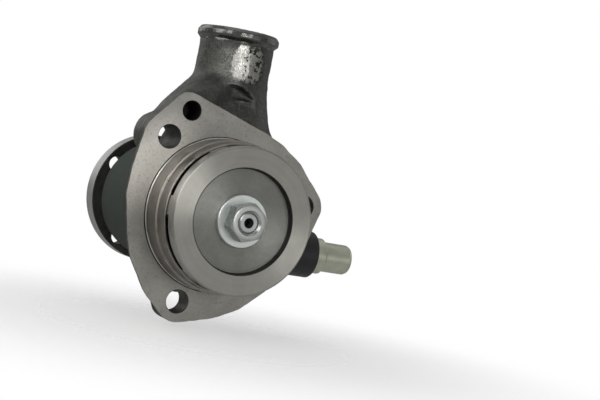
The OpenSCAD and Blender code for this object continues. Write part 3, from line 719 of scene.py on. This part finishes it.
spigot = lathe("spigot", [(29, -13, 1.5), (35.9, -22.2, 0.15), (36.9, -22.2, 0.4), (36.9, -13.5, 0.25), (38, -13.5, 0.4), (38, -1.6), (38, -0.75), (38.2, -0.6), (38.2, -0.1), (37.7, 0.0), (37.7, 0.69), (29, 0.69)], 192)
# the lip at the spigot's root takes the painted highlight colour
finish_piece(spigot, "housing", [], [M_SPIGOT, M_LIP_HIGHLIGHT, M_CAST_SHADE],
             # inward faces of the spigot's nose take the painted shade colour
             lambda c, n: 2 if c.x * n.x + c.z * n.z < -1 and math.hypot(c.x, c.z) < 35.85 else (1 if -1.6 < c.y < 0 and math.hypot(c.x, c.z) > 37.5 else 0))

adapter = lathe("outlet_bush", [(6.5, 40), (9.5, 40), (9.5, 50.05), (12.2, 50.05, 0.8), (12.2, 64.3, 1.3), (8.3, 64.3), (8.3, 58), (6.5, 58)], 112, "X", OUT)
finish_piece(adapter, "housing", ["outlet_adapter"], [M_BLACK_BUSH_AND_BORE_SHADE])
nipple = lathe("heater_tail", [(6, 58), (8.3, 58), (8.3, 64.3), (9.4, 64.3, 0.3), (9.4, 69.7, 0.5), (8.7, 70.3, 0.3), (7.8, 70.7, 0.3), (7.8, 84.6, 1.0), (7.0, 86.2, 0.5), (6, 86.2, 0.2)], 112, "X", OUT)
# the heater tail's bore is painted in the black bush colour as shade inside the tube
finish_piece(nipple, "housing", ["heater_nipple"], [M_OLIVE, M_BLACK_BUSH_AND_BORE_SHADE],
             lambda c, n: 1 if math.hypot(c.y - OUT[1], c.z - OUT[2]) < 6.1 and c.x < 85.6 else 0)

# ---------------------------------------------------------------- impeller
disc = lathe("impeller_wheel", [(12.9, -27.9), (25.1, -27.9), (25.5, -28.3), (25.5, -31.1), (25.7, -31.4), (26.0, -31.4), (36, -31.4, 0.7), (36, -25.3, 0.3), (26, -24, 2), (19, -20, 3), (14, -13, 3), (12.9, -9)], 240)
core = lathe("impeller_hub", [(7, -27.9), (13.0, -27.9), (13.0, -9), (12.5, -4, 2), (12.5, 13, 0.4), (7, 13)], 128)
VR, VT, VB = 27.0, 3.9, 25.0
vc = math.sqrt(36 ** 2 + VR ** 2 - 72 * VR * math.cos(math.radians(VB)))
va = math.degrees(math.acos((36 ** 2 + vc ** 2 - VR ** 2) / (72 * vc)))
vanes = []
for i in range(6):
    turn_by = 176.75 + 60 * i - va
    outline = []
    for r, sweep in ((VR + VT / 2, range(2, 150, 4)), (VR - VT / 2, range(148, 0, -4))):
        for t in sweep:
            x, z = vc + r * math.cos(math.radians(t)), r * math.sin(math.radians(t))
            a = math.radians(turn_by)
            outline.append((x * math.cos(a) - z * math.sin(a), x * math.sin(a) + z * math.cos(a)))
    v = prism("vane", outline, -26.4, -10)
    cut(v, lathe("t", [(0, -28), (35.9, -28), (35.9, -22.65), (35.4, -22.65), (28.1, -12.9), (14, -10.2), (0, -10.2)], 128), "INTERSECT")
    vanes.append(v)
blades = join("impeller_vanes", vanes)
tidy(blades)
cut(core, block("t", -2, 2, -40, 20, 0, 8.8))
tidy(core)


def imp_pick(c, n):
    r = math.hypot(c.x, c.z)
    # a thin dark band painted on the ring's front at its inner edge
    if c.y < -31.0 and r < 26.0:
        return 4
    if c.y < -31.0 and n.y < -0.5:
        return 0
    # the recess wall is painted dark as shade; its floor keeps the recess finish
    if c.y < -27.5 and r < 25.7:
        return 4 if abs(n.y) < 0.8 else 1
    if r > 35.0:
        return 2
    # the impeller's back takes the painted shade colour
    return 3


finish_piece(disc, "rotor", ["impeller"], [M_IMP, M_RECESS, M_RIM, M_CAST_SHADE, M_WALL_SHADE], imp_pick)
# the impeller hub and the vanes seen through the slits take the painted shade colour; the vane tips are rim metal
finish_piece(core, "rotor", [], [M_CAST_SHADE])
finish_piece(blades, "rotor", [], [M_CAST_SHADE, M_RIM], lambda c, n: 1 if math.hypot(c.x, c.z) > 35.5 and c.x * n.x + c.z * n.z > 0 else 0)

washer = lathe("plain_washer", [(5.3, -30.5), (12.55, -30.5, 0.3), (13.0, -30.0, 0.3), (13.0, -27.95), (5.3, -27.95)], 112)
finish_piece(washer, "rotor", ["impeller_washer"], [M_WASH])

hexa = [polar(17 / math.sqrt(3), 19 + 60 * i) for i in range(6)]
nut = prism("hex_nut", hexa, -38.5, -30.52)
cut(nut, lathe("t", [(0, -38.5), (8.05, -38.5), (8.35, -38.42), (9.9, -37.5), (9.9, -31.3), (8.8, -30.52), (0, -30.52)], 144), "INTERSECT")
cut(nut, lathe("t", [(0, -40), (7.2, -40), (6.1, -38.5), (5.02, -37.2), (5.02, -29), (0, -29)], 96))
tidy(nut)
# faces turned to the front take the lit copy, the rest the painted shade copy
finish_piece(nut, "rotor", ["impeller_nut"], [M_SHADED_NUT, M_LIT_NUT_FACE], lambda c, n: 1 if n.y < -0.3 else 0, 18)

# threaded, keyed and turned shaft
prof = [(0, -32.2), (1.1, -33.0), (1.1, -35.4), (2.5, -37.7), (4.25, -37.7), (4.9, -37.05)]
y = -36.9
while y < -30.9:
    prof += [(5.0, y), (4.45, y + 0.55), (5.0, y + 1.1)]
    y += 1.25
prof += [(4.6, -30.2), (4.6, -27.2), (6.5, -27.2), (7, -26.7), (7, 13), (8, 13, 0.2), (8, 46.2), (12, 46.2, 0.3), (12, 47), (10, 47), (10, 82.5), (9.4, 82.5), (9.4, 83.8), (9.8, 83.8), (9.8, 86.5),
         (9.5, 86.8), (9.5, 103.2), (8.7, 104, 0.2), (3.6, 104, 0.2), (1.5, 101.4), (1.5, 98), (0, 97.2)]
shaft = lathe("keyed_shaft", prof, 112)
cut(shaft, block("t", -2, 2, -20, 2, 4.6, 8.6))
cut(shaft, block("t", -2.5, 2.5, 89, 101, 6.6, 10.6))
tidy(shaft)
# the centre drilling in the shaft's tip is painted near-black as shade
finish_piece(shaft, "rotor", ["pump_shaft"], [M_SHAFT, M_HOLE_SHADE], lambda c, n: 1 if c.y < -32 and math.hypot(c.x, c.z) < 2.45 else 0, 25)

# ---------------------------------------------------------------- drive hub
hub = lathe("hub_flange", [(9.5, 87.2), (15.2, 87.2, 0.3), (16, 88, 0.3), (16, 91.4, 1.2), (17, 92.4, 0.3), (34.6, 92.4, 0.7), (34.6, 102.5, 0.7), (15, 102.5, 0.6), (15, 105.5, 0.5), (9.5, 105.5, 0.4)], 192)
for i in range(4):
    p = polar(28, 147.5 + 90 * i)
    cut(hub, lathe("t", [(0, 88), (5, 88), (5, 91.9), (4.2, 92.8), (4.2, 102.1), (4.9, 102.9), (4.9, 107), (0, 107)], 56, "Y", (p[0], 0, p[1])))
cut(hub, block("t", -2.5, 2.5, 80, 110, 0, 11.8))
tidy(hub)


def hub_pick(c, n):
    r = math.hypot(c.x, c.z)
    if r > 34.0 and abs(n.y) < 0.75:
        return 0
    if n.y > 0.5:
        return 2
    return 1


finish_piece(hub, "rotor", ["drive_hub"], [M_HUBRIM, M_HUBDARK, M_HUBFACE], hub_pick)

# ---------------------------------------------------------------- floor, light, camera
floor = lathe("floor", [(0, -57.4), (4000, -57.4), (4000, -60), (0, -60)], 96, "Z")
k = Mat("pale_floor", metallic=0.0, rough=0.9, spec=0.2)
fl = k.noise(0.01, 3, 0.5)
k.set(k.mix(k.span(fl, 0.3, 0.7), (0.90, 0.90, 0.90), (0.93, 0.93, 0.925)), k.span(fl, 0.3, 0.7, 0.85, 0.95))
clear = k.n("ShaderNodeBsdfTransparent")
fade = k.n("ShaderNodeMixShader")
k.put(fade.inputs[0], k.span(k.axis_r("Z"), 50, 240, 0.72, 1.0))
k.t.links.new(k.b.outputs[0], fade.inputs[1])
k.t.links.new(clear.outputs[0], fade.inputs[2])
k.t.links.new(fade.outputs[0], k.out.inputs[0])
floor.data.materials.append(k.m)

world = bpy.data.worlds.new("studio")
scene.world = world
world.use_nodes = True
wt = world.node_tree
wt.nodes.clear()
wo = wt.nodes.new("ShaderNodeOutputWorld")
mixs = wt.nodes.new("ShaderNodeMixShader")
lp = wt.nodes.new("ShaderNodeLightPath")
seen = wt.nodes.new("ShaderNodeBackground")
seen.inputs[0].default_value = (1, 1, 1, 1)
seen.inputs[1].default_value = 1.0
room = wt.nodes.new("ShaderNodeBackground")
room.inputs[1].default_value = 1.0
tc = wt.nodes.new("ShaderNodeTexCoord")
sx = wt.nodes.new("ShaderNodeSeparateXYZ")
ramp = wt.nodes.new("ShaderNodeValToRGB")
mr = wt.nodes.new("ShaderNodeMapRange")
wt.links.new(tc.outputs["Generated"], sx.inputs[0])
wt.links.new(sx.outputs[2], mr.inputs[0])
mr.inputs[1].default_value, mr.inputs[2].default_value = -1.0, 1.0
wt.links.new(mr.outputs[0], ramp.inputs[0])
el = ramp.color_ramp.elements
el[0].position, el[0].color = 0.0, (0.40, 0.40, 0.40, 1)
el[1].position, el[1].color = 1.0, (0.34, 0.34, 0.345, 1)
e = el.new(0.52); e.color = (0.21, 0.207, 0.20, 1)
wt.links.new(ramp.outputs[0], room.inputs[0])
wt.links.new(lp.outputs["Is Camera Ray"], mixs.inputs[0])
wt.links.new(room.outputs[0], mixs.inputs[1])
wt.links.new(seen.outputs[0], mixs.inputs[2])
wt.links.new(mixs.outputs[0], wo.inputs[0])


def softbox(name, at, look, size, power, color=(1, 1, 1)):
    data = bpy.data.lights.new(name, "AREA")
    data.shape, data.size, data.size_y = "RECTANGLE", size[0], size[1]
    data.energy, data.color = power, color
    o = bpy.data.objects.new(name, data)
    scene.collection.objects.link(o)
    o.location = at
    o.rotation_euler = (Vector(look) - Vector(at)).to_track_quat("-Z", "Y").to_euler()
    return o


def around(az, el, d):
    """A point seen at an azimuth (0 = in front) and height, d metres from the pump."""
    a, e = math.radians(az), math.radians(el)
    return (d * math.sin(a) * math.cos(e), -d * math.cos(a) * math.cos(e), 0.03 + d * math.sin(e))


softbox("far_left", around(-82, 20, 1.0), (0, 0.02, 0.03), (0.45, 0.6), 2.1)
softbox("left_box", around(-50, 19, 0.95), (0, 0.02, 0.05), (0.13, 0.45), 1.3)
softbox("front_box", around(-2, 8, 0.95), (0, 0.02, 0.05), (0.13, 0.40), 1.5)
softbox("face_glow", (0.34, -0.80, 0.0), (-0.01, 0, 0.0), (0.50, 0.40), 0.30)
softbox("right_fill", around(95, 15, 1.0), (0, 0.03, 0), (0.5, 0.9), 0.7)
softbox("top", (0.05, 0.15, 1.0), (0, 0.03, 0), (0.8, 0.8), 1.2)
softbox("rear", (-0.5, 0.9, 0.5), (0, 0.04, 0), (0.8, 0.8), 2.2)

cam_data = bpy.data.cameras.new("camera")
cam_data.lens, cam_data.sensor_width = 90, 36
cam_data.clip_start, cam_data.clip_end = 0.01, 50
cam = bpy.data.objects.new("camera", cam_data)
scene.collection.objects.link(cam)
cam.matrix_world = Matrix((
    (0.8804, -0.1562, -0.4477, -0.2972),
    (-0.4384, 0.0917, -0.8941, -0.6796),
    (0.1807, 0.9835, 0.0122, 0.0238),
    (0, 0, 0, 1)))
scene.camera = cam
scene.view_settings.view_transform = "Standard"
scene.view_settings.look = "None"
scene.view_settings.exposure = 0.0
